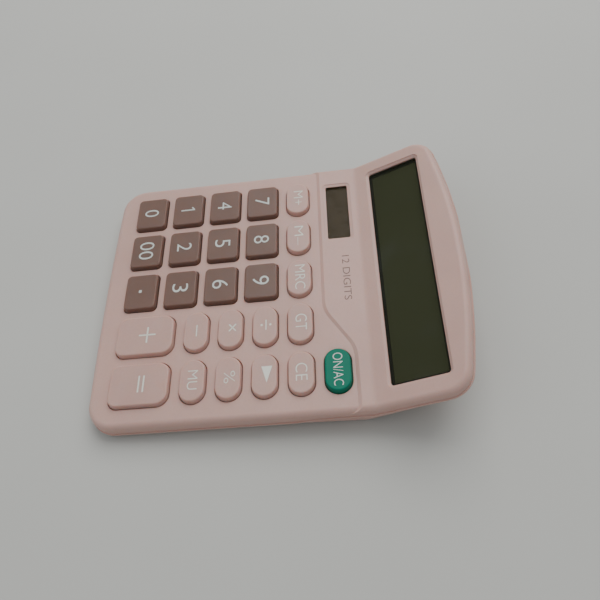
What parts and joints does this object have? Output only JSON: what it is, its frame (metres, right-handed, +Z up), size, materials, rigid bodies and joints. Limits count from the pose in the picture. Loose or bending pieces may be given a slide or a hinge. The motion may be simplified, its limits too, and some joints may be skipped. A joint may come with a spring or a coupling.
{
  "type": "desk calculator",
  "caption": "Low desk calculator with a wide tilted display, small solar window, sprung number, function and operator keys, and rubber feet.",
  "frame": {"origin": "centre of the object's box, on the surface it stands on", "axes": "+X to the user's right, +Y away from the user towards the display, +Z up from the table"},
  "size_m": [0.1208, 0.1506, 0.0297],
  "materials": {
    "case_pink": "fine satin texture",
    "key_pink": "satin",
    "key_mauve": "satin",
    "key_green": "smooth",
    "window_smoke": "clear polished plate",
    "lcd_grey": "polariser film on glass",
    "frame_black": "moulded",
    "solar_dark": "amorphous silicon behind glass",
    "silicone_grey": "moulded silicone",
    "board_green": "solder mask on phenolic board",
    "resin_black": "cured resin drop",
    "connector_black": "layered conductive rubber",
    "ribbon_white": "flat film cable",
    "screw_steel": "zinc plated",
    "cell_steel": "nickel plated can",
    "contact_plated": "nickel plated spring strip",
    "foot_rubber": "moulded rubber"
  },
  "bodies": {
    "case": {"upper_housing": "case_pink", "lower_housing": "case_pink", "battery_cover": "case_pink", "battery_cover_screw": "screw_steel", "case_screws": "screw_steel", "board_screws": "screw_steel", "rubber_feet": "foot_rubber", "keypad_sheet": "silicone_grey", "main_board": "board_green", "controller_chip": "resin_black", "display_board": "board_green", "rubber_connector": "connector_black", "ribbon_cable": "ribbon_white", "display_window": "window_smoke", "lcd_panel": "lcd_grey", "lcd_frame": "frame_black", "solar_window": "window_smoke", "solar_cell": "solar_dark", "solar_leads": "contact_plated", "button_cell": "cell_steel", "contact_positive": "contact_plated", "contact_negative": "contact_plated"},
    "button_0": {"key_0": "key_mauve"},
    "button_00": {"key_00": "key_mauve"},
    "button_point": {"key_point": "key_mauve"},
    "button_1": {"key_1": "key_mauve"},
    "button_2": {"key_2": "key_mauve"},
    "button_3": {"key_3": "key_mauve"},
    "button_4": {"key_4": "key_mauve"},
    "button_5": {"key_5": "key_mauve"},
    "button_6": {"key_6": "key_mauve"},
    "button_7": {"key_7": "key_mauve"},
    "button_8": {"key_8": "key_mauve"},
    "button_9": {"key_9": "key_mauve"},
    "button_subtract": {"key_subtract": "key_pink"},
    "button_mark_up": {"key_mark_up": "key_pink"},
    "button_multiply": {"key_multiply": "key_pink"},
    "button_percent": {"key_percent": "key_pink"},
    "button_divide": {"key_divide": "key_pink"},
    "button_right_shift": {"key_right_shift": "key_pink"},
    "button_add": {"key_add": "key_pink"},
    "button_equals": {"key_equals": "key_pink"},
    "button_memory_plus": {"key_memory_plus": "key_pink"},
    "button_memory_minus": {"key_memory_minus": "key_pink"},
    "button_memory_recall": {"key_memory_recall": "key_pink"},
    "button_grand_total": {"key_grand_total": "key_pink"},
    "button_clear_entry": {"key_clear_entry": "key_pink"},
    "button_on_clear": {"key_on_clear": "key_green"}
  },
  "joints": [
    {"name": "press_0", "type": "slide", "parent": "case", "child": "button_0", "axis": [0, -0.0436, 0.999], "range_m": [-0.0012, 0], "stiffness_N_per_m": 450},
    {"name": "press_00", "type": "slide", "parent": "case", "child": "button_00", "axis": [0, -0.0436, 0.999], "range_m": [-0.0012, 0], "stiffness_N_per_m": 450},
    {"name": "press_point", "type": "slide", "parent": "case", "child": "button_point", "axis": [0, -0.0436, 0.999], "range_m": [-0.0012, 0], "stiffness_N_per_m": 450},
    {"name": "press_1", "type": "slide", "parent": "case", "child": "button_1", "axis": [0, -0.0436, 0.999], "range_m": [-0.0012, 0], "stiffness_N_per_m": 450},
    {"name": "press_2", "type": "slide", "parent": "case", "child": "button_2", "axis": [0, -0.0436, 0.999], "range_m": [-0.0012, 0], "stiffness_N_per_m": 450},
    {"name": "press_3", "type": "slide", "parent": "case", "child": "button_3", "axis": [0, -0.0436, 0.999], "range_m": [-0.0012, 0], "stiffness_N_per_m": 450},
    {"name": "press_4", "type": "slide", "parent": "case", "child": "button_4", "axis": [0, -0.0436, 0.999], "range_m": [-0.0012, 0], "stiffness_N_per_m": 450},
    {"name": "press_5", "type": "slide", "parent": "case", "child": "button_5", "axis": [0, -0.0436, 0.999], "range_m": [-0.0012, 0], "stiffness_N_per_m": 450},
    {"name": "press_6", "type": "slide", "parent": "case", "child": "button_6", "axis": [0, -0.0436, 0.999], "range_m": [-0.0012, 0], "stiffness_N_per_m": 450},
    {"name": "press_7", "type": "slide", "parent": "case", "child": "button_7", "axis": [0, -0.0436, 0.999], "range_m": [-0.0012, 0], "stiffness_N_per_m": 450},
    {"name": "press_8", "type": "slide", "parent": "case", "child": "button_8", "axis": [0, -0.0436, 0.999], "range_m": [-0.0012, 0], "stiffness_N_per_m": 450},
    {"name": "press_9", "type": "slide", "parent": "case", "child": "button_9", "axis": [0, -0.0436, 0.999], "range_m": [-0.0012, 0], "stiffness_N_per_m": 450},
    {"name": "press_subtract", "type": "slide", "parent": "case", "child": "button_subtract", "axis": [0, -0.0436, 0.999], "range_m": [-0.0012, 0], "stiffness_N_per_m": 450},
    {"name": "press_mark_up", "type": "slide", "parent": "case", "child": "button_mark_up", "axis": [0, -0.0436, 0.999], "range_m": [-0.0012, 0], "stiffness_N_per_m": 450},
    {"name": "press_multiply", "type": "slide", "parent": "case", "child": "button_multiply", "axis": [0, -0.0436, 0.999], "range_m": [-0.0012, 0], "stiffness_N_per_m": 450},
    {"name": "press_percent", "type": "slide", "parent": "case", "child": "button_percent", "axis": [0, -0.0436, 0.999], "range_m": [-0.0012, 0], "stiffness_N_per_m": 450},
    {"name": "press_divide", "type": "slide", "parent": "case", "child": "button_divide", "axis": [0, -0.0436, 0.999], "range_m": [-0.0012, 0], "stiffness_N_per_m": 450},
    {"name": "press_right_shift", "type": "slide", "parent": "case", "child": "button_right_shift", "axis": [0, -0.0436, 0.999], "range_m": [-0.0012, 0], "stiffness_N_per_m": 450},
    {"name": "press_add", "type": "slide", "parent": "case", "child": "button_add", "axis": [0, -0.0436, 0.999], "range_m": [-0.0012, 0], "stiffness_N_per_m": 600},
    {"name": "press_equals", "type": "slide", "parent": "case", "child": "button_equals", "axis": [0, -0.0436, 0.999], "range_m": [-0.0012, 0], "stiffness_N_per_m": 600},
    {"name": "press_memory_plus", "type": "slide", "parent": "case", "child": "button_memory_plus", "axis": [0, -0.0436, 0.999], "range_m": [-0.0012, 0], "stiffness_N_per_m": 450},
    {"name": "press_memory_minus", "type": "slide", "parent": "case", "child": "button_memory_minus", "axis": [0, -0.0436, 0.999], "range_m": [-0.0012, 0], "stiffness_N_per_m": 450},
    {"name": "press_memory_recall", "type": "slide", "parent": "case", "child": "button_memory_recall", "axis": [0, -0.0436, 0.999], "range_m": [-0.0012, 0], "stiffness_N_per_m": 450},
    {"name": "press_grand_total", "type": "slide", "parent": "case", "child": "button_grand_total", "axis": [0, -0.0436, 0.999], "range_m": [-0.0012, 0], "stiffness_N_per_m": 450},
    {"name": "press_clear_entry", "type": "slide", "parent": "case", "child": "button_clear_entry", "axis": [0, -0.0436, 0.999], "range_m": [-0.0012, 0], "stiffness_N_per_m": 450},
    {"name": "press_on_clear", "type": "slide", "parent": "case", "child": "button_on_clear", "axis": [0, -0.0436, 0.999], "range_m": [-0.0012, 0], "stiffness_N_per_m": 450}
  ]
}
